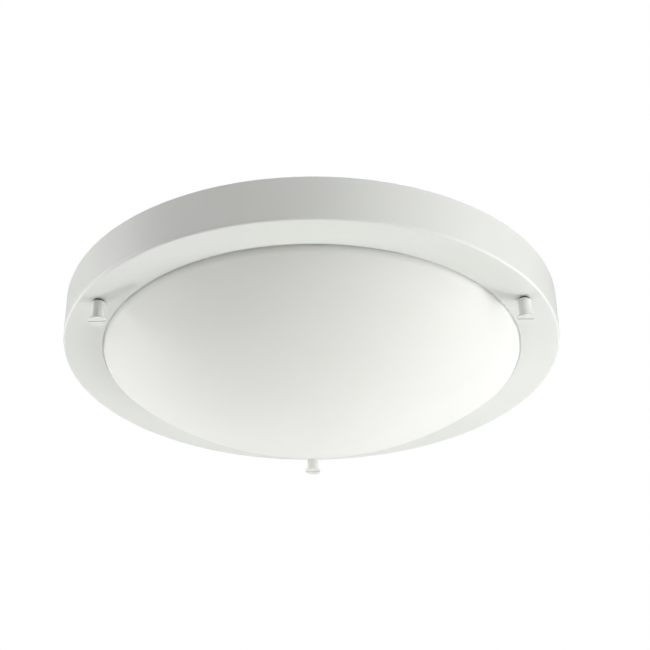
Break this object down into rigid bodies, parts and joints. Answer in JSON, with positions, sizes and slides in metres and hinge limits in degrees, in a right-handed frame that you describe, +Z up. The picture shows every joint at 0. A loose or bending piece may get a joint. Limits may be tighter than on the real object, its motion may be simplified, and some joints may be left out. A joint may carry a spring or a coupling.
{
  "type": "flush ceiling light",
  "caption": "Round flush ceiling light: white drum ring with an opal glass dome held by thumbscrews, over a sealed pan with lampholders and lamps.",
  "frame": {"origin": "centre of the pan's back, on the ceiling", "axes": "+Z up into the ceiling, square to the pan's back; X along the lamps, with a thumbscrew on +Y"},
  "size_m": [0.315, 0.315, 0.0784],
  "materials": {
    "ring_coat": "white powder coat, satin",
    "pan_coat": "white stoved paint, satin",
    "opal_glass": "opal, satin etched outside",
    "foam": "closed-cell foam, matt",
    "rubber": "matt",
    "silicone": "translucent silicone, satin",
    "zinc": "bright zinc plate",
    "spring_steel": "spring steel, oiled",
    "ceramic": "cream glazed ceramic",
    "block_plastic": "cream moulded plastic",
    "brass": "satin",
    "nickel": "nickel plate",
    "lamp_housing": "white, satin",
    "lamp_diffuser": "opal, satin",
    "brown_insulation": "satin",
    "blue_insulation": "satin"
  },
  "bodies": {
    "base": {"base_pan": "pan_coat", "ceiling_gasket": "foam", "rim_gasket": "rubber", "cable_grommet": "rubber", "pillar_1": "zinc", "pillar_2": "zinc", "pillar_3": "zinc", "terminal_block": "block_plastic", "terminal_tube_live": "brass", "terminal_tube_neutral": "brass", "terminal_screw_1": "zinc", "terminal_screw_2": "zinc", "terminal_screw_3": "zinc", "terminal_screw_4": "zinc", "terminal_block_screw": "zinc", "earth_screw": "brass", "earth_washer": "brass", "lamp_bracket_1": "zinc", "lamp_bracket_2": "zinc", "lampholder_1": "ceramic", "lampholder_2": "ceramic", "lampholder_shell_1": "nickel", "lampholder_shell_2": "nickel", "lampholder_contact_1": "brass", "lampholder_contact_2": "brass", "lampholder_screw_1a": "zinc", "lampholder_screw_1b": "zinc", "lampholder_screw_2a": "zinc", "lampholder_screw_2b": "zinc", "wire_live_1": "brown_insulation", "wire_neutral_1": "blue_insulation", "wire_live_2": "brown_insulation", "wire_neutral_2": "blue_insulation"},
    "cover": {"trim_ring": "ring_coat", "glass_diffuser": "opal_glass", "glass_gasket": "silicone", "clip_stud_1": "zinc", "clip_stud_2": "zinc", "clip_stud_3": "zinc"},
    "thumbscrew_1_rings": {"thumbscrew_seal_1": "rubber", "thumbscrew_retainer_1": "zinc"},
    "thumbscrew_1": {"thumbscrew_1": "ring_coat"},
    "thumbscrew_2_rings": {"thumbscrew_seal_2": "rubber", "thumbscrew_retainer_2": "zinc"},
    "thumbscrew_2": {"thumbscrew_2": "ring_coat"},
    "thumbscrew_3_rings": {"thumbscrew_seal_3": "rubber", "thumbscrew_retainer_3": "zinc"},
    "thumbscrew_3": {"thumbscrew_3": "ring_coat"},
    "glass_clip_1": {"glass_clip_1": "spring_steel"},
    "glass_clip_2": {"glass_clip_2": "spring_steel"},
    "glass_clip_3": {"glass_clip_3": "spring_steel"},
    "bulb_1_end": {"bulb_1_contact": "nickel"},
    "bulb_1": {"bulb_1_cap": "nickel", "bulb_1_housing": "lamp_housing", "bulb_1_envelope": "lamp_diffuser"},
    "bulb_2_end": {"bulb_2_contact": "nickel"},
    "bulb_2": {"bulb_2_cap": "nickel", "bulb_2_housing": "lamp_housing", "bulb_2_envelope": "lamp_diffuser"}
  },
  "joints": [
    {"name": "cover_drop", "type": "slide", "parent": "base", "child": "cover", "axis": [0, 0, -1], "range_m": [0, 0.1]},
    {"name": "thumbscrew_1_travel", "type": "slide", "parent": "cover", "child": "thumbscrew_1_rings", "axis": [0, 0, -1], "range_m": [0, 0.0084]},
    {"name": "thumbscrew_1_turn", "type": "hinge", "parent": "thumbscrew_1_rings", "child": "thumbscrew_1", "pos_m": [0, 0.1461, -0.02875], "axis": [0, 0, -1], "range_deg": [0, 4320]},
    {"name": "thumbscrew_2_travel", "type": "slide", "parent": "cover", "child": "thumbscrew_2_rings", "axis": [0, 0, -1], "range_m": [0, 0.0084]},
    {"name": "thumbscrew_2_turn", "type": "hinge", "parent": "thumbscrew_2_rings", "child": "thumbscrew_2", "pos_m": [-0.12653, -0.07305, -0.02875], "axis": [0, 0, -1], "range_deg": [0, 4320]},
    {"name": "thumbscrew_3_travel", "type": "slide", "parent": "cover", "child": "thumbscrew_3_rings", "axis": [0, 0, -1], "range_m": [0, 0.0084]},
    {"name": "thumbscrew_3_turn", "type": "hinge", "parent": "thumbscrew_3_rings", "child": "thumbscrew_3", "pos_m": [0.12653, -0.07305, -0.02875], "axis": [0, 0, -1], "range_deg": [0, 4320]},
    {"name": "glass_clip_1_turn", "type": "hinge", "parent": "cover", "child": "glass_clip_1", "pos_m": [0.12601, 0.07275, -0.0218], "axis": [0, 0, 1], "range_deg": [0, 90]},
    {"name": "glass_clip_2_turn", "type": "hinge", "parent": "cover", "child": "glass_clip_2", "pos_m": [-0.12601, 0.07275, -0.0218], "axis": [0, 0, 1], "range_deg": [0, 90]},
    {"name": "glass_clip_3_turn", "type": "hinge", "parent": "cover", "child": "glass_clip_3", "pos_m": [0, -0.1455, -0.0218], "axis": [0, 0, 1], "range_deg": [0, 90]},
    {"name": "bulb_1_travel", "type": "slide", "parent": "base", "child": "bulb_1_end", "axis": [1, 0, 0], "range_m": [0, 0.0254]},
    {"name": "bulb_1_turn", "type": "hinge", "parent": "bulb_1_end", "child": "bulb_1", "pos_m": [-0.08, 0.028, -0.028], "axis": [1, 0, 0], "range_deg": [0, 2520]},
    {"name": "bulb_2_travel", "type": "slide", "parent": "base", "child": "bulb_2_end", "axis": [-1, 0, 0], "range_m": [0, 0.0254]},
    {"name": "bulb_2_turn", "type": "hinge", "parent": "bulb_2_end", "child": "bulb_2", "pos_m": [0.08, -0.028, -0.028], "axis": [-1, 0, 0], "range_deg": [0, 2520]}
  ],
  "couplings": [
    {"joint": "thumbscrew_1_turn", "follows": "thumbscrew_1_travel", "rad_per_m": 8976},
    {"joint": "thumbscrew_2_turn", "follows": "thumbscrew_2_travel", "rad_per_m": 8976},
    {"joint": "thumbscrew_3_turn", "follows": "thumbscrew_3_travel", "rad_per_m": 8976},
    {"joint": "bulb_1_turn", "follows": "bulb_1_travel", "rad_per_m": 1731.6},
    {"joint": "bulb_2_turn", "follows": "bulb_2_travel", "rad_per_m": 1731.6}
  ]
}
